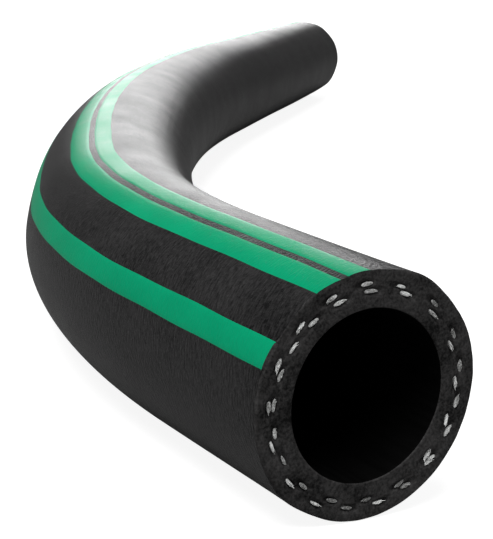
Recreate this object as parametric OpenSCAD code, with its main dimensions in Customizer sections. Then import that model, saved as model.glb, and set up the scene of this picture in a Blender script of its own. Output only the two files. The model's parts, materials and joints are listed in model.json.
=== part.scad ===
// A short cut length of textile-reinforced rubber water hose, lying on a flat floor.
// It is built up like the real hose: a smooth inner tube, two plies of reinforcing yarn
// with a thin layer of tie rubber between them, and a thick cover. Three coloured stripes
// are inlaid flush in the cover and run its whole length. Both ends are cut square.
//
// Units are millimetres, +Z is up and the floor is z = 0.
// The hose leaves its near cut end along +Y, bends twice to the right and ends in a
// straight run. The origin is on the floor, at the middle of the length it covers along X
// and along Y.

/* [Hose] */
// Length of the hose along its centreline
cut_length = 370; // [300:5:400]
// Inside diameter, for a five-eighths hose tail
bore_diameter = 15.9; // [14:0.1:17]
// Outside diameter of the cover
outside_diameter = 23; // [22:0.1:26]

/* [Layers] */
// Wall of the smooth inner tube
tube_wall = 1.4; // [1.1:0.05:1.6]
// Thickness of each ply of yarn
ply_thickness = 0.45; // [0.3:0.05:0.6]
// Thickness of the rubber between the two plies
tie_thickness = 0.15; // [0.1:0.05:0.3]

/* [Stripes] */
// Depth of the coloured stripes in the cover
stripe_depth = 0.3; // [0.2:0.05:0.4]
// Height of the single stripe's middle above the side of the hose, in degrees
single_stripe_angle = 24; // [15:1:40]
// Width of the single stripe round the cover
single_stripe_width = 2.6; // [2:0.1:4]
// Height of the lower twin stripe's middle above the side of the hose, in degrees
lower_twin_angle = 64; // [55:1:66]
// Width of the lower twin stripe
lower_twin_width = 2.6; // [2:0.1:3.4]
// Height of the upper twin stripe's middle above the side of the hose, in degrees
upper_twin_angle = 80; // [78:1:100]
// Width of the upper twin stripe
upper_twin_width = 2.2; // [1.5:0.1:2.8]

/* [Lay] */
// Straight run at the near end
near_straight = 25; // [20:1:40]
// Radius of the first, tighter bend at the centreline
first_bend_radius = 110; // [90:5:150]
// How far the first bend turns to the right, in degrees
first_bend_angle = 24; // [10:1:35]
// Radius of the second, wide bend at the centreline
second_bend_radius = 540; // [300:10:560]
// How far the second bend turns to the right, in degrees
second_bend_angle = 19.25; // [5:0.25:22]

/* [Hidden] */
// The number of sides only decides how finely a preview draws the round faces.
$fn = 96;

outside_radius = outside_diameter / 2;
bore_radius = bore_diameter / 2;
tube_radius = bore_radius + tube_wall;
inner_ply_radius = tube_radius + ply_thickness;
tie_radius = inner_ply_radius + tie_thickness;
outer_ply_radius = tie_radius + ply_thickness;

// The hose rests on the floor, so its centreline lies one outside radius above it.
axis_height = outside_radius;

// What the bends leave of the cut length is the straight run at the far end.
first_bend_length = first_bend_radius * first_bend_angle * PI / 180;
second_bend_length = second_bend_radius * second_bend_angle * PI / 180;
far_straight = cut_length - near_straight - first_bend_length - second_bend_length;

// The far cut end's middle, measured from the near cut end's middle.
whole_turn = first_bend_angle + second_bend_angle;
far_x = first_bend_radius * (1 - cos(first_bend_angle))
    + second_bend_radius * (cos(first_bend_angle) - cos(whole_turn))
    + far_straight * sin(whole_turn);
far_y = near_straight
    + first_bend_radius * sin(first_bend_angle)
    + second_bend_radius * (sin(whole_turn) - sin(first_bend_angle))
    + far_straight * cos(whole_turn);

// The second bend's centre, measured from the first bend's centre. Both lie on the line
// through the joint between the bends, so the hose runs on smoothly there.
between_centres_x = (second_bend_radius - first_bend_radius) * cos(first_bend_angle);
between_centres_y = (first_bend_radius - second_bend_radius) * sin(first_bend_angle);

// Where the far straight run starts, measured from the second bend's centre.
far_joint_x = -second_bend_radius * cos(whole_turn);
far_joint_y = second_bend_radius * sin(whole_turn);

// The floor covered runs from the near end's left side to the far end's right side in X,
// and from the near end's face to the far end's left side in Y.
middle_x = (far_x + outside_radius * cos(whole_turn) - outside_radius) / 2;
middle_y = (far_y + outside_radius * sin(whole_turn)) / 2;

tube_colour = [0.07, 0.07, 0.07];
yarn_colour = [0.80, 0.80, 0.78];
tie_colour = [0.10, 0.10, 0.10];
cover_colour = [0.12, 0.12, 0.12];
stripe_colour = [0.00, 0.50, 0.33];

// ---- Sections of the hose, drawn looking along it: +x is its right side and +y is up ----

module ring_section(inner, outer) {
    difference() {
        circle(r = outer);
        circle(r = inner);
    }
}

// A slice of the cover's outermost layer. Its middle is `angle` degrees up from the left
// side of the hose, and it is `width` wide, measured round the outside.
module stripe_section(angle, width) {
    half = width / outside_radius * 90 / PI;
    reach = 1.5 * outside_radius;
    middle = 180 - angle;
    intersection() {
        ring_section(outside_radius - stripe_depth, outside_radius);
        polygon([
            [0, 0],
            [reach * cos(middle - half), reach * sin(middle - half)],
            [reach * cos(middle + half), reach * sin(middle + half)]
        ]);
    }
}

// The cover's ring with an open groove for each stripe, down to the stripes' depth.
module cover_section() {
    difference() {
        ring_section(outer_ply_radius, outside_radius);
        stripe_section(single_stripe_angle, single_stripe_width);
        stripe_section(lower_twin_angle, lower_twin_width);
        stripe_section(upper_twin_angle, upper_twin_width);
    }
}

// ---- The route, seen from above, with the near cut end's middle at the origin ----

module straight_run(run) {
    translate([0, run, 0])
        rotate([90, 0, 0])
            linear_extrude(height = run)
                children();
}

// A bend to the right round the origin. It starts where the hose has already turned by
// `before` degrees. The section is mirrored because its right side faces the centre.
module right_bend(radius, before, angle) {
    rotate_extrude(angle = angle, start = 180 - before - angle)
        translate([radius, 0])
            mirror([1, 0])
                children();
}

// Moves by whole millimetres, then by whole thousandths and then by the rest. One move
// would be rounded to six digits, and the runs would then miss each other by a hair.
module move_finely(x, y) {
    whole_x = floor(x);
    whole_y = floor(y);
    thousandth_x = floor((x - whole_x) * 1000) / 1000;
    thousandth_y = floor((y - whole_y) * 1000) / 1000;
    translate([whole_x, whole_y, 0])
        translate([thousandth_x, thousandth_y, 0])
            translate([x - whole_x - thousandth_x, y - whole_y - thousandth_y, 0])
                children();
}

// Carries one section of the hose from the near end to the far end.
module along_hose() {
    translate([-middle_x, -middle_y, axis_height]) {
        straight_run(near_straight)
            children();
        translate([first_bend_radius, near_straight, 0]) {
            right_bend(first_bend_radius, 0, first_bend_angle)
                children();
            move_finely(between_centres_x, between_centres_y) {
                right_bend(second_bend_radius, first_bend_angle, second_bend_angle)
                    children();
                move_finely(far_joint_x, far_joint_y)
                    rotate([0, 0, -whole_turn])
                        straight_run(far_straight)
                            children();
            }
        }
    }
}

// ---- The pieces, from the bore outwards ----

module inner_tube() {
    color(tube_colour)
        along_hose()
            ring_section(bore_radius, tube_radius);
}

// Eighteen yarns laid side by side in a spiral, drawn as the sleeve that they fill.
module inner_yarn_ply() {
    color(yarn_colour)
        along_hose()
            ring_section(tube_radius, inner_ply_radius);
}

module tie_layer() {
    color(tie_colour)
        along_hose()
            ring_section(inner_ply_radius, tie_radius);
}

// Eighteen more yarns, wound the other way over the tie layer.
module outer_yarn_ply() {
    color(yarn_colour)
        along_hose()
            ring_section(tie_radius, outer_ply_radius);
}

module cover() {
    color(cover_colour)
        along_hose()
            cover_section();
}

module single_stripe() {
    color(stripe_colour)
        along_hose()
            stripe_section(single_stripe_angle, single_stripe_width);
}

module lower_twin_stripe() {
    color(stripe_colour)
        along_hose()
            stripe_section(lower_twin_angle, lower_twin_width);
}

module upper_twin_stripe() {
    color(stripe_colour)
        along_hose()
            stripe_section(upper_twin_angle, upper_twin_width);
}

inner_tube();
inner_yarn_ply();
tie_layer();
outer_yarn_ply();
cover();
single_stripe();
lower_twin_stripe();
upper_twin_stripe();
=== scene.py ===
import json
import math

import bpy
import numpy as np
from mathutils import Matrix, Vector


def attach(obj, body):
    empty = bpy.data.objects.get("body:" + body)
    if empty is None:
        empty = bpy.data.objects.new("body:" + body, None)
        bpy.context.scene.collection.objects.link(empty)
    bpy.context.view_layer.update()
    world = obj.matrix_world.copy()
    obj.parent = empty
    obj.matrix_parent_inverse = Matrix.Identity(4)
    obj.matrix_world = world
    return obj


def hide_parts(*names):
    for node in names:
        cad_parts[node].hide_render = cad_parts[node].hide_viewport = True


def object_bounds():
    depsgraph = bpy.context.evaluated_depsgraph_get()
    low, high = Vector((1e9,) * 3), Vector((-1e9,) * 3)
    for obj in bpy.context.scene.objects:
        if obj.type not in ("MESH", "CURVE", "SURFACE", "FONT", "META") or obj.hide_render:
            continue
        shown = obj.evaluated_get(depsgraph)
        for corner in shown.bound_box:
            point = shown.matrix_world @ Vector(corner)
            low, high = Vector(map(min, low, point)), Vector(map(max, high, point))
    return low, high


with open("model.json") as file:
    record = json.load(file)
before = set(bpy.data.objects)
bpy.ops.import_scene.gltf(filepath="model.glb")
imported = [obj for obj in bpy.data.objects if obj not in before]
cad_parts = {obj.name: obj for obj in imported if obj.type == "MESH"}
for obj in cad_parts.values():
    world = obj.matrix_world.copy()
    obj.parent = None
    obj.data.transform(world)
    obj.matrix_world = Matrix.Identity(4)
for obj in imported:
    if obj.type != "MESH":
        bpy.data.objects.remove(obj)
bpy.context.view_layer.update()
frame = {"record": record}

# A short cut length of textile-reinforced rubber water hose, lying on a pale floor.
# Every piece of the hose is a mesh swept along the same route as the CAD model, in metres:
# the inner tube, two plies of eighteen spiral yarns, the rubber between and around the
# yarns, the cover, and three green stripes inlaid in the cover.

rng = np.random.default_rng(11)

MM = 0.001

# ---- Sizes repeated from the CAD source ----

HOSE_LENGTH = 370 * MM
NEAR_STRAIGHT = 25 * MM
FIRST_RADIUS = 110 * MM
FIRST_ANGLE = math.radians(24)
SECOND_RADIUS = 540 * MM
SECOND_ANGLE = math.radians(19.25)
TUBE_WALL = 1.4 * MM
PLY_THICKNESS = 0.45 * MM
TIE_THICKNESS = 0.15 * MM
STRIPE_DEPTH = 0.3 * MM

# Name, height above the hose's left side in degrees, and width round the outside.
STRIPES = [
    ("upper_twin_stripe", 80, 2.2 * MM),
    ("lower_twin_stripe", 64, 2.6 * MM),
    ("single_stripe", 24, 2.6 * MM),
]

# ---- Sizes read from the frame ----

mounts = {m["name"]: m for m in frame["record"]["mounts"]}
near_mount = mounts["near_outside"]
OUTSIDE = near_mount["dims"]["r_mm"] * MM
BORE = mounts["near_bore"]["dims"]["r_mm"] * MM
NEAR_END = (
    np.array(near_mount["pos_m"])
    + np.array(near_mount["axis"]) * near_mount["dims"]["length_mm"] * MM / 2
)

TUBE_OUTSIDE = BORE + TUBE_WALL
INNER_PLY_MIDDLE = TUBE_OUTSIDE + PLY_THICKNESS / 2
OUTER_PLY_MIDDLE = INNER_PLY_MIDDLE + PLY_THICKNESS + TIE_THICKNESS
PLIES_OUTSIDE = OUTER_PLY_MIDDLE + PLY_THICKNESS / 2

# ---- The route ----


def route(s):
    """Centre points and headings, in radians to the right of +Y, at distances s."""
    s = np.asarray(s, float)
    first = np.clip((s - NEAR_STRAIGHT) / FIRST_RADIUS, 0, FIRST_ANGLE)
    past_first = s - NEAR_STRAIGHT - FIRST_RADIUS * FIRST_ANGLE
    second = np.clip(past_first / SECOND_RADIUS, 0, SECOND_ANGLE)
    far_run = np.maximum(past_first - SECOND_RADIUS * SECOND_ANGLE, 0)
    heading = first + second
    x = (
        FIRST_RADIUS * (1 - np.cos(first))
        + SECOND_RADIUS * (math.cos(FIRST_ANGLE) - np.cos(FIRST_ANGLE + second))
        + far_run * math.sin(FIRST_ANGLE + SECOND_ANGLE)
    )
    y = (
        np.minimum(s, NEAR_STRAIGHT)
        + FIRST_RADIUS * np.sin(first)
        + SECOND_RADIUS * (np.sin(FIRST_ANGLE + second) - math.sin(FIRST_ANGLE))
        + far_run * math.cos(FIRST_ANGLE + SECOND_ANGLE)
    )
    return np.stack([x, y, np.zeros_like(x)], -1) + NEAR_END, heading


def place(s, angle, radius):
    """Points at a distance along the hose, an angle up from its right side, and a radius."""
    s, angle, radius = np.broadcast_arrays(s, angle, radius)
    centre, heading = route(s)
    side = radius * np.cos(angle)
    offset = np.stack(
        [side * np.cos(heading), -side * np.sin(heading), radius * np.sin(angle)], -1
    )
    return centre + offset


# ---- Camera ----

PICTURE_HEIGHT = 539
FOCAL_LENGTH = 1500  # in pixels of the picture
CAMERA_FROM_NEAR_END = np.array([-74.8, -100.51, 38.84]) * MM
AZIMUTH = math.radians(31.48)
PITCH = math.radians(12.72)
ROLL = math.radians(3.42)


def make_camera():
    forward = np.array(
        [
            math.sin(AZIMUTH) * math.cos(PITCH),
            math.cos(AZIMUTH) * math.cos(PITCH),
            -math.sin(PITCH),
        ]
    )
    level = np.array([math.cos(AZIMUTH), -math.sin(AZIMUTH), 0])
    above = np.cross(level, forward)
    right = level * math.cos(ROLL) + above * math.sin(ROLL)
    up = above * math.cos(ROLL) - level * math.sin(ROLL)
    data = bpy.data.cameras.new("camera")
    data.sensor_width = 36
    data.lens = FOCAL_LENGTH / PICTURE_HEIGHT * data.sensor_width
    data.clip_start = 0.01
    camera = bpy.data.objects.new("camera", data)
    bpy.context.scene.collection.objects.link(camera)
    turn = Matrix(np.stack([right, up, -forward], 1).tolist()).to_4x4()
    camera.matrix_world = Matrix.Translation(NEAR_END + CAMERA_FROM_NEAR_END) @ turn
    bpy.context.scene.camera = camera


make_camera()

# ---- Yarns: where they run ----

YARNS = 18
INNER_PITCH = 41.4 * MM
OUTER_PITCH = 43.8 * MM
YARN_HALF_WIDTH = 0.56 * MM  # round the hose, as a square cut shows it
YARN_HALF_THICKNESS = 0.16 * MM
PLY_OFF_CENTRE = 0.1 * MM  # both plies sit a little low and to the left
PLACE_SPREAD = 0.9  # how much a yarn's angle differs from its plan, in degrees
RADIUS_SPREAD = 0.05  # and its radius, in millimetres


def inner_start(n):
    """Angle of an inner yarn at the near end. The lay is uneven round the hose."""
    even = math.tau * n / YARNS
    uneven = math.radians(11) * math.sin(even + math.radians(10))
    return even + uneven - math.radians(3) * math.sin(2 * even + math.radians(33))


def outer_start(n):
    even = math.tau * n / YARNS
    uneven = math.radians(5) * math.cos(even - math.radians(20))
    return even + math.radians(18) - uneven - math.radians(1.7) * math.cos(2 * even)


def make_yarn_plan():
    """One dict per yarn, with small seeded differences in place and size."""
    plan = []
    for ply, start, middle, pitch, hand in (
        ("inner", inner_start, INNER_PLY_MIDDLE, INNER_PITCH, 1),
        ("outer", outer_start, OUTER_PLY_MIDDLE, OUTER_PITCH, -1),
    ):
        for n in range(YARNS):
            plan.append(
                {
                    "ply": ply,
                    "number": n + 1,
                    "start": start(n) + math.radians(rng.normal(0, PLACE_SPREAD)),
                    "radius": middle + rng.normal(0, RADIUS_SPREAD) * MM,
                    "turn": hand * math.tau / pitch,
                    "half_width": YARN_HALF_WIDTH * rng.uniform(0.8, 1.12),
                    "half_thickness": YARN_HALF_THICKNESS * rng.uniform(0.85, 1.3),
                }
            )
    return plan


yarn_plan = make_yarn_plan()


def yarn_centre(yarn, s):
    """Angle and radius of a yarn's middle at a distance along the hose."""
    angle = yarn["start"] + yarn["turn"] * s
    radius = yarn["radius"] + PLY_OFF_CENTRE * np.cos(angle - math.radians(215))
    return angle, radius


# ---- The knife-cut end faces ----

RIM = 0.22 * MM  # rounding of the cut's outer edge
BORE_RIM = 0.12 * MM
PIT_DEPTH = 0.34 * MM
PIT_HALF_LENGTH = 0.86 * MM
PIT_HALF_WIDTH = 0.31 * MM


def rounding(depth_in, size):
    """How far a rounded edge has fallen back, depth_in past the start of its rounding."""
    d = np.clip(depth_in, 0, size)
    return size - np.sqrt(size**2 - d**2)


def cut_depth(angle, radius, far=False):
    """How far the cut face lies inside the hose's exact end plane."""
    x = radius * np.cos(angle) / MM
    y = radius * np.sin(angle) / MM
    along, across = 0.8 * x + 0.6 * y, 0.8 * y - 0.6 * x
    turned = 2.1 if far else 0.0
    wave = 0.05 + 0.035 * np.sin(0.33 * along + 0.6 + turned)
    drag = 0.012 * np.sin(5.2 * across + 1.4 * np.sin(0.5 * across + turned))
    depth = (wave + drag) * MM
    depth = depth + rounding(radius - (OUTSIDE - RIM), RIM)
    depth = depth + rounding(BORE + BORE_RIM - radius, BORE_RIM)
    for yarn in yarn_plan:
        middle, yarn_radius = yarn_centre(yarn, HOSE_LENGTH if far else 0.0)
        apart = (angle - middle + math.pi) % math.tau - math.pi
        tangential = apart * radius / PIT_HALF_LENGTH
        radial = (radius - yarn_radius) / PIT_HALF_WIDTH
        depth = depth + PIT_DEPTH * np.exp(-(tangential**4) - radial**4)
    return depth


def uneven_outside(angle, s):
    """Slight unevenness of the wrapped and cured cover, a little more at a cut end."""
    s_mm = s / MM
    end = np.exp(-np.minimum(s, HOSE_LENGTH - s) / (5 * MM))
    body = 0.03 * np.sin(3 * angle + s_mm / 11) + 0.025 * np.sin(5 * angle - s_mm / 17 + 1)
    cut = 0.1 * np.sin(2 * angle + 0.8) + 0.06 * np.sin(7 * angle) + 0.04 * np.sin(11 * angle + 2)
    return (body + end * cut) * MM


# ---- Mesh making ----

SHARP_EDGE = math.radians(40)
SKIN_SLOT, CUT_SLOT, INSIDE_SLOT = 0, 1, 2  # places in a piece's list of materials


def make_object(name, points, faces, slots, face_slots=None, uv=None):
    mesh = bpy.data.meshes.new(name)
    mesh.from_pydata(points.reshape(-1, 3).tolist(), [], [tuple(f) for f in faces])
    for material in slots:
        mesh.materials.append(material)
    if face_slots is not None:
        mesh.polygons.foreach_set("material_index", np.asarray(face_slots, np.int32))
    if uv is not None:
        uv_layer = mesh.uv_layers.new(name="surface")
        uv_layer.uv.foreach_set("vector", np.asarray(uv, np.float32).ravel())
    mesh.polygons.foreach_set("use_smooth", np.ones(len(mesh.polygons), bool))
    mesh.validate()
    mesh.set_sharp_from_angle(angle=SHARP_EDGE)
    mesh.update()
    obj = bpy.data.objects.new(name, mesh)
    bpy.context.scene.collection.objects.link(obj)
    return obj


def ring_grid(name, s, angle, radius, slots, row_slots):
    """A closed skin from rows of rings: each row joins the next, and the last the first.
    The UV map holds the way round and the way along, in metres."""
    rows, columns = s.shape
    points = place(s, angle, radius)
    row, column = np.meshgrid(np.arange(rows), np.arange(columns), indexing="ij")
    next_row, next_column = (row + 1) % rows, (column + 1) % columns
    corners = [(row, column), (row, next_column), (next_row, next_column), (next_row, column)]
    faces = np.stack([r * columns + c for r, c in corners], -1).reshape(-1, 4)
    lap = np.where(next_column == 0, math.tau, 0)
    u = [angle[r, c] + (lap if c is next_column else 0) for r, c in corners]
    v = [s[r, c] for r, c in corners]
    uv = np.stack([np.stack(u, -1) * OUTSIDE, np.stack(v, -1)], -1).reshape(-1, 2)
    face_slots = np.repeat(np.asarray(row_slots), columns)
    return make_object(name, points, faces, slots, face_slots, uv)


def close_stations(first, middle, step_near, step_far):
    """Distances along the hose: close together up to `middle`, wider apart past it."""
    near = np.arange(first, middle, step_near)
    far = np.arange(middle, HOSE_LENGTH - first, step_far)
    return np.concatenate([near, far, [HOSE_LENGTH - first]])


END_GAP = 0.6 * MM  # between a cut face and the first ring of the skin
NEAR_PART = 120 * MM  # as far as this the camera sees the hose from close by
visible_stations = close_stations(END_GAP, NEAR_PART, 1.0 * MM, 2.4 * MM)
hidden_stations = close_stations(END_GAP, NEAR_PART, 6 * MM, 6 * MM)


def layer(name, columns, inner, outer, rings, outer_stations, inner_stations, slots):
    """A closed tube of rubber between two radii. columns(s) gives the angles of a row, and
    inner and outer give the radius for angles and a distance. slots are its skin, its cut
    faces and its inside."""
    s_rows, a_rows, r_rows, row_slots = [], [], [], []

    def add(s, angle, radius, slot):
        s_rows.append(np.broadcast_to(s, angle.shape))
        a_rows.append(angle)
        r_rows.append(np.broadcast_to(radius, angle.shape))
        row_slots.append(slot)

    near, far = columns(0.0), columns(HOSE_LENGTH)
    for k, t in enumerate(rings):
        low, high = inner(near, 0.0), outer(near, 0.0)
        radius = low + t * (high - low)
        add(cut_depth(near, radius), near, radius, CUT_SLOT if k < len(rings) - 1 else SKIN_SLOT)
    for s in outer_stations:
        add(s, columns(s), outer(columns(s), s), SKIN_SLOT)
    for k, t in enumerate(rings[::-1]):
        low, high = inner(far, HOSE_LENGTH), outer(far, HOSE_LENGTH)
        radius = low + t * (high - low)
        slot = CUT_SLOT if k < len(rings) - 1 else INSIDE_SLOT
        add(HOSE_LENGTH - cut_depth(far, radius, far=True), far, radius, slot)
    for s in inner_stations[::-1]:
        add(s, columns(s), inner(columns(s), s), INSIDE_SLOT)
    return ring_grid(
        name, np.stack(s_rows), np.stack(a_rows), np.stack(r_rows), slots, row_slots
    )


# ---- Materials ----


class Nodes:
    """Short ways to add nodes to one material."""

    def __init__(self, name):
        self.material = bpy.data.materials.new(name)
        self.material.use_nodes = True
        self.tree = self.material.node_tree
        self.shader = self.tree.nodes["Principled BSDF"]

    def add(self, kind, **values):
        node = self.tree.nodes.new(kind)
        for key, value in values.items():
            setattr(node, key, value)
        return node

    def link(self, source, target):
        self.tree.links.new(source, target)

    def object_place(self, scale, turn=0.0, uv=False):
        """Coordinates scaled per axis, in patterns per metre."""
        if uv:
            source = self.add("ShaderNodeUVMap", uv_map="surface").outputs["UV"]
        else:
            source = self.add("ShaderNodeTexCoord").outputs["Object"]
        spin = self.add("ShaderNodeMapping", vector_type="POINT")
        spin.inputs["Rotation"].default_value = (0, 0, turn)
        self.link(source, spin.inputs["Vector"])
        stretch = self.add("ShaderNodeMapping", vector_type="POINT")
        stretch.inputs["Scale"].default_value = scale
        self.link(spin.outputs["Vector"], stretch.inputs["Vector"])
        return stretch.outputs["Vector"]

    def noise(self, vector, detail=3.0, roughness=0.55):
        node = self.add("ShaderNodeTexNoise")
        node.inputs["Scale"].default_value = 1.0
        node.inputs["Detail"].default_value = detail
        node.inputs["Roughness"].default_value = roughness
        self.link(vector, node.inputs["Vector"])
        return node.outputs["Fac"]

    def spread(self, value, low, high, to_low, to_high):
        node = self.add("ShaderNodeMapRange")
        for name, number in (
            ("From Min", low), ("From Max", high), ("To Min", to_low), ("To Max", to_high)
        ):
            node.inputs[name].default_value = number
        self.link(value, node.inputs["Value"])
        return node.outputs["Result"]

    def mix_values(self, a, b, share):
        node = self.add("ShaderNodeMix", data_type="FLOAT")
        node.inputs["Factor"].default_value = share
        self.link(a, node.inputs["A"])
        self.link(b, node.inputs["B"])
        return node.outputs["Result"]

    def colour(self, value, low, high):
        node = self.add("ShaderNodeMix", data_type="RGBA")
        node.inputs["A"].default_value = (*low, 1)
        node.inputs["B"].default_value = (*high, 1)
        self.link(value, node.inputs["Factor"])
        self.link(node.outputs["Result"], self.shader.inputs["Base Color"])

    def bump(self, value, distance, strength=1.0):
        node = self.add("ShaderNodeBump")
        node.inputs["Strength"].default_value = strength
        node.inputs["Distance"].default_value = distance
        self.link(value, node.inputs["Height"])
        self.link(node.outputs["Normal"], self.shader.inputs["Normal"])

    def finish(self, specular):
        self.shader.inputs["Specular IOR Level"].default_value = specular
        return self.material


CLOTH_LEAN = math.radians(16)
CLOTH_STROKES = (1250, 4300, 1)  # round and along the hose, per metre
CLOTH_CROSSING = (4800, 2200, 1)


def cover_rubber():
    """Black rubber with the fine slanting print of the cloth it was cured in."""
    n = Nodes("cover_rubber")
    strokes = n.noise(n.object_place(CLOTH_STROKES, CLOTH_LEAN, uv=True), 3)
    crossing = n.noise(n.object_place(CLOTH_CROSSING, CLOTH_LEAN, uv=True), 2)
    cloth = n.mix_values(strokes, crossing, 0.28)
    patches = n.noise(n.object_place((140, 140, 140)), 3)
    shade = n.mix_values(cloth, patches, 0.22)
    n.colour(n.spread(shade, 0.38, 0.62, 0, 1), (0.002, 0.002, 0.0022), (0.034, 0.033, 0.0335))
    n.link(n.spread(patches, 0.3, 0.7, 0.36, 0.43), n.shader.inputs["Roughness"])
    n.bump(cloth, 0.15 * MM)
    return n.finish(0.16)


def cut_rubber():
    """The matt face that the knife left, with fine drag marks and grain."""
    n = Nodes("cut_rubber")
    grain = n.noise(n.object_place((3600, 3600, 3600)), 4, 0.65)
    drag = n.noise(n.object_place((500, 500, 4200), 0.4), 2)
    patches = n.noise(n.object_place((330, 330, 330)), 2)
    relief = n.mix_values(grain, drag, 0.4)
    shade = n.mix_values(grain, patches, 0.4)
    n.colour(n.spread(shade, 0.36, 0.66, 0, 1), (0.006, 0.006, 0.006), (0.068, 0.066, 0.066))
    n.link(n.spread(patches, 0.3, 0.7, 0.66, 0.85), n.shader.inputs["Roughness"])
    n.bump(relief, 0.05 * MM)
    return n.finish(0.07)


def bore_rubber_painted_shade():
    """The smooth black wall of the bore. Its black rubber is painted darker still, almost to
    nothing, as painted shade deep in the bore.
    """
    n = Nodes("bore_rubber_painted_shade")
    streaks = n.noise(n.object_place((900, 60, 1), 0, uv=True), 3)
    # Near-zero colour: the black rubber plus painted shade of the deep bore.
    n.colour(n.spread(streaks, 0.3, 0.7, 0, 1), (0.001, 0.001, 0.001), (0.0025, 0.0025, 0.0025))
    n.link(n.spread(streaks, 0.3, 0.7, 0.6, 0.75), n.shader.inputs["Roughness"])
    n.bump(streaks, 0.02 * MM)
    return n.finish(0.03)


def stripe_rubber():
    """Satin green rubber, pressed by the same cloth as the cover but smoother."""
    n = Nodes("stripe_rubber")
    cloth = n.noise(n.object_place(CLOTH_STROKES, CLOTH_LEAN, uv=True), 3)
    patches = n.noise(n.object_place((120, 120, 120)), 2)
    shade = n.mix_values(cloth, patches, 0.6)
    n.colour(n.spread(shade, 0.32, 0.68, 0, 1), (0.0, 0.29, 0.135), (0.001, 0.36, 0.17))
    n.link(n.spread(patches, 0.3, 0.7, 0.34, 0.42), n.shader.inputs["Roughness"])
    n.bump(cloth, 0.05 * MM)
    return n.finish(0.06)


def yarn_fibre():
    """Off-white textile yarn, in places greyed by the rubber."""
    n = Nodes("yarn_fibre")
    fibres = n.noise(n.object_place((7000, 7000, 7000)), 3, 0.6)
    ends = n.noise(n.object_place((420, 420, 420)), 1)
    shade = n.mix_values(fibres, ends, 0.55)
    n.colour(n.spread(shade, 0.4, 0.59, 0, 1), (0.2, 0.2, 0.195), (0.95, 0.96, 0.95))
    n.link(n.spread(fibres, 0.3, 0.7, 0.55, 0.8), n.shader.inputs["Roughness"])
    n.bump(fibres, 0.03 * MM)
    n.shader.inputs["Sheen Weight"].default_value = 0.25
    return n.finish(0.3)


FLOOR_GLOW = 0.9  # keeps the floor pale to the eye without lighting the hose from below


def floor_paint():
    n = Nodes("floor_paint")
    grain = n.noise(n.object_place((9, 9, 9)), 2)
    n.colour(grain, (0.33, 0.33, 0.33), (0.35, 0.35, 0.35))
    n.shader.inputs["Roughness"].default_value = 0.9
    n.shader.inputs["Emission Color"].default_value = (1, 1, 1, 1)
    seen = n.add("ShaderNodeLightPath").outputs["Is Camera Ray"]
    n.link(n.spread(seen, 0, 1, 0, FLOOR_GLOW), n.shader.inputs["Emission Strength"])
    return n.finish(0.1)


COVER, CUT, INSIDE = cover_rubber(), cut_rubber(), bore_rubber_painted_shade()
GREEN, YARN = stripe_rubber(), yarn_fibre()

# ---- The cover and its stripes ----


def stripe_edges(s):
    """The low and high angle of each stripe, in STRIPES order. The edges waver slightly."""
    edges = []
    for k, (_, height, width) in enumerate(STRIPES):
        middle = math.pi - math.radians(height)
        half = width / OUTSIDE / 2
        for side in (-1, 1):
            phase = 2.3 * k + side
            waver = 0.14 * math.sin(s / MM / 1.9 + phase) + 0.1 * math.sin(s / MM / 4.3 + 2 * phase)
            edges.append(middle + side * half + math.radians(waver))
    return edges


GROOVE_WALL = math.radians(0.35)  # how far a groove's wall leans
BOTTOM = -math.pi / 2
COLUMN_STEP = math.radians(1.25)


def section_plan():
    """The stretches of the cover's section: number of columns, and whether grooved."""
    marks = [BOTTOM, *stripe_edges(0.0), BOTTOM + math.tau]
    spans = zip(marks[:-1], marks[1:])
    return [(max(3, round((b - a) / COLUMN_STEP)), k % 2 == 1) for k, (a, b) in enumerate(spans)]


SECTION = section_plan()


def cover_columns(s):
    marks = [BOTTOM, *stripe_edges(s), BOTTOM + math.tau]
    angles = []
    for (count, grooved), low, high in zip(SECTION, marks[:-1], marks[1:]):
        if grooved:
            angles.append(np.linspace(low + GROOVE_WALL, high - GROOVE_WALL, count + 1))
        elif high == marks[-1]:
            angles.append(np.linspace(low, high, count + 1)[:-1])
        else:
            angles.append(np.linspace(low, high, count + 1))
    return np.concatenate(angles)


def groove_mask():
    parts = []
    for k, (count, grooved) in enumerate(SECTION):
        last = k == len(SECTION) - 1
        parts.append(np.full(count if last else count + 1, grooved))
    return np.concatenate(parts)


GROOVED = groove_mask()


def cover_outside(angle, s):
    return OUTSIDE + uneven_outside(angle, s) - np.where(GROOVED, STRIPE_DEPTH, 0)


def fixed(radius):
    return lambda angle, s: np.full_like(angle, radius)


def even_columns(count):
    angles = BOTTOM + np.arange(count) * math.tau / count
    return lambda s: angles


# Fractions across the cover's cut face, close together where its edge is rounded.
COVER_RINGS = [0, 0.14, 0.28, 0.42, 0.56, 0.68, 0.78, 0.84, 0.89, 0.93, 0.96, 0.985, 1]
cover = layer(
    "hose_cover", cover_columns, fixed(PLIES_OUTSIDE), cover_outside,
    COVER_RINGS, visible_stations, hidden_stations, [COVER, CUT, INSIDE],
)

STRIPE_COLUMNS = 14
STRIPE_CROWN = 0.035 * MM  # how far a stripe's middle stands proud of the cover


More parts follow.
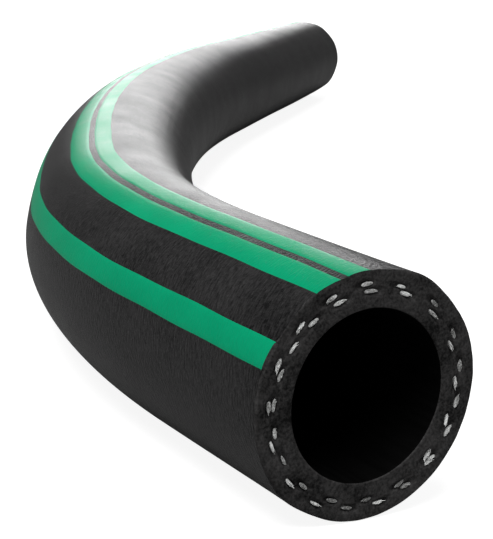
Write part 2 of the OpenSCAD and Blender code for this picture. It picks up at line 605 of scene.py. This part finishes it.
def make_stripe(index):
    """A band whose section is a top arc and, back again, a bottom arc in its groove."""
    name = STRIPES[index][0]
    distances = np.concatenate([[0.0], visible_stations, [HOSE_LENGTH]])
    across = np.linspace(0, 1, STRIPE_COLUMNS + 1)
    crown = STRIPE_CROWN * (1 - (2 * across - 1) ** 8)
    rows = []
    for s in distances:
        low, high = stripe_edges(s)[2 * index:2 * index + 2]
        top_angle = low + across * (high - low)
        floor_angle = low + GROOVE_WALL + across * (high - low - 2 * GROOVE_WALL)
        top = OUTSIDE + uneven_outside(top_angle, s) + crown
        floor = OUTSIDE + uneven_outside(floor_angle, s) - STRIPE_DEPTH
        angle = np.concatenate([top_angle, floor_angle[::-1]])
        radius = np.concatenate([top, floor[::-1]])
        if s == 0:
            at = cut_depth(angle, radius)
        elif s == HOSE_LENGTH:
            at = HOSE_LENGTH - cut_depth(angle, radius, far=True)
        else:
            at = np.full_like(angle, s)
        rows.append((at, angle, radius))
    s_grid, a_grid, r_grid = (np.stack(part) for part in zip(*rows))
    points = place(s_grid, a_grid, r_grid)
    count, columns = s_grid.shape
    faces, slots, uv = [], [], []

    def add(corners, slot):
        faces.append([r * columns + c for r, c in corners])
        slots.append(slot)
        uv.extend((a_grid[r, c] * OUTSIDE, s_grid[r, c]) for r, c in corners)

    for r in range(count - 1):
        for c in range(columns):
            d = (c + 1) % columns
            add([(r, c), (r, d), (r + 1, d), (r + 1, c)], SKIN_SLOT)
    for c in range(STRIPE_COLUMNS):
        back = columns - 1 - c
        add([(0, c), (0, back), (0, back - 1), (0, c + 1)], CUT_SLOT)
        last = count - 1
        add([(last, c), (last, c + 1), (last, back - 1), (last, back)], CUT_SLOT)
    return make_object("green_" + name, points, faces, [GREEN, CUT], slots, uv)


stripes = [make_stripe(index) for index in range(len(STRIPES))]

# ---- The inner tube, and the rubber that the yarns lie in ----

tube = layer(
    "hose_inner_tube", even_columns(288), fixed(BORE), fixed(TUBE_OUTSIDE),
    [0, 0.02, 0.05, 0.09, 0.2, 0.32, 0.44, 0.56, 0.68, 0.78, 0.86, 0.93, 1],
    hidden_stations, close_stations(END_GAP, NEAR_PART, 2 * MM, 4 * MM), [INSIDE, CUT, INSIDE],
)
# The yarns run through this rubber, and some reach into the tube or the cover. No channels
# are cut for them.
tie = layer(
    "hose_tie_rubber", even_columns(400), fixed(TUBE_OUTSIDE), fixed(PLIES_OUTSIDE),
    np.linspace(0, 1, 15), hidden_stations, hidden_stations, [INSIDE, CUT, INSIDE],
)

# ---- The yarns ----

YARN_SIDES = 10
FILAMENTS = 16
FILAMENT_RADIUS = 0.04 * MM
FILAMENT_SIDES = 5
FILAMENT_FLATNESS = 1.7
FILAMENT_TAPER = 0.6
FILAMENT_ROOT = 0.45 * MM  # how far inside the end plane a filament starts
FILAMENT_TIP = 0.06 * MM  # how far inside it the shortest one ends
FILAMENT_REACH = 0.13  # how much further out the longest one gets, in millimetres
YARN_END_GAP = 0.13 * MM  # how far a yarn's body stops short of the end plane
yarn_stations = np.arange(0, HOSE_LENGTH + MM, 2 * MM)


def filament(yarn, far):
    """One broken fibre standing out of a yarn's cut end, as rings from root to tip."""
    way = -1 if far else 1
    end = HOSE_LENGTH if far else 0.0
    spot, swing = math.sqrt(rng.uniform(0, 1)) * 0.8, rng.uniform(0, math.tau)
    along, outward = spot * math.cos(swing), spot * math.sin(swing)
    reach = rng.uniform(0.0, FILAMENT_REACH) * MM
    lean, lift = rng.normal(0, 0.06) * MM, rng.normal(0, 0.015) * MM
    rings = []
    for t in (0.0, 0.4, 0.75, 1.0):
        inside = FILAMENT_ROOT * (1 - t) + (FILAMENT_TIP - reach) * t
        s = end + way * inside
        angle, radius = yarn_centre(yarn, s)
        radius = radius + outward * yarn["half_thickness"] + lift * t
        angle = angle + (along * yarn["half_width"] + lean * t) / radius
        turn = np.arange(FILAMENT_SIDES) * math.tau / FILAMENT_SIDES
        size = FILAMENT_RADIUS * (1 - FILAMENT_TAPER * t**2)
        around = angle + FILAMENT_FLATNESS * size * np.cos(turn) / radius
        rings.append(place(s, around, radius + size * np.sin(turn)))
    return rings


def rings_to_faces(rings, first):
    """Quads between rings and a face across each end, for points numbered from first."""
    sides = len(rings[0])
    faces = []
    for r in range(len(rings) - 1):
        for c in range(sides):
            d = (c + 1) % sides
            low = first + r * sides
            faces.append((low + c, low + d, low + sides + d, low + sides + c))
    last = first + (len(rings) - 1) * sides
    faces.append(tuple(first + c for c in reversed(range(sides))))
    faces.append(tuple(last + c for c in range(sides)))
    return faces


def make_yarn(yarn):
    turn = np.arange(YARN_SIDES) * math.tau / YARN_SIDES
    bundles = [[]]
    for s in yarn_stations:
        at = min(max(s, YARN_END_GAP), HOSE_LENGTH - YARN_END_GAP)
        angle, radius = yarn_centre(yarn, at)
        around = angle + yarn["half_width"] * np.cos(turn) / radius
        bundles[0].append(place(at, around, radius + yarn["half_thickness"] * np.sin(turn)))
    for far in (False, True):
        bundles += [filament(yarn, far) for _ in range(FILAMENTS)]
    points, faces = [], []
    for rings in bundles:
        faces += rings_to_faces(rings, sum(len(p) for p in points))
        points += rings
    name = f"{yarn['ply']}_yarn_{yarn['number']:02d}"
    return make_object(name, np.concatenate(points), faces, [YARN])


yarns = [make_yarn(yarn) for yarn in yarn_plan]

# ---- Hide the CAD part that each piece replaces, and hang each piece on the root ----

for piece, node, slot in (
    (cover, "cover", "cover_rubber"),
    (tube, "inner_tube", "tube_rubber"),
    (tie, "tie_layer", "tie_rubber"),
):
    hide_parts(node)
for piece, (node, _, _) in zip(stripes, STRIPES):
    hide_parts(node)
for piece, yarn in zip(yarns, yarn_plan):
    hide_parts(yarn["ply"] + "_yarn_ply")
for piece in [cover, tube, tie, *stripes, *yarns]:
    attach(piece, "root")

# ---- Floor and light ----


FLOOR_HALF_SIZE = 4.0
FLOOR_SQUARES = 8
WORLD_STRENGTH = 0.17


def make_floor():
    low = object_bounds()[0].z
    row = FLOOR_SQUARES + 1
    steps = np.linspace(-FLOOR_HALF_SIZE, FLOOR_HALF_SIZE, row)
    x, y = np.meshgrid(steps, steps)
    points = np.stack([x, y, np.full_like(x, low)], -1)
    faces = [
        (r * row + c, r * row + c + 1, (r + 1) * row + c + 1, (r + 1) * row + c)
        for r in range(FLOOR_SQUARES) for c in range(FLOOR_SQUARES)
    ]
    make_object("floor", points, faces, [floor_paint()])


def add_light(name, spot, target, size, power):
    data = bpy.data.lights.new(name, "AREA")
    data.shape = "RECTANGLE"
    data.size, data.size_y = size
    data.energy = power
    light = bpy.data.objects.new(name, data)
    light.visible_camera = False
    bpy.context.scene.collection.objects.link(light)
    aim = Matrix.Translation(spot).to_translation() - Matrix.Translation(target).to_translation()
    light.matrix_world = Matrix.Translation(spot) @ aim.to_track_quat("Z", "Y").to_matrix().to_4x4()


make_floor()
add_light("backdrop", (0.52, 1.05, 0.2), (0, 0, 0.02), (0.4, 0.3), 2.9)
add_light("key", (-0.42, -0.35, 0.92), (0, 0, 0), (0.6, 0.6), 10.5)

world = bpy.data.worlds.new("studio")
world.use_nodes = True
world.node_tree.nodes["Background"].inputs["Color"].default_value = (1, 1, 1, 1)
world.node_tree.nodes["Background"].inputs["Strength"].default_value = WORLD_STRENGTH
bpy.context.scene.world = world
bpy.context.scene.view_settings.view_transform = "Standard"
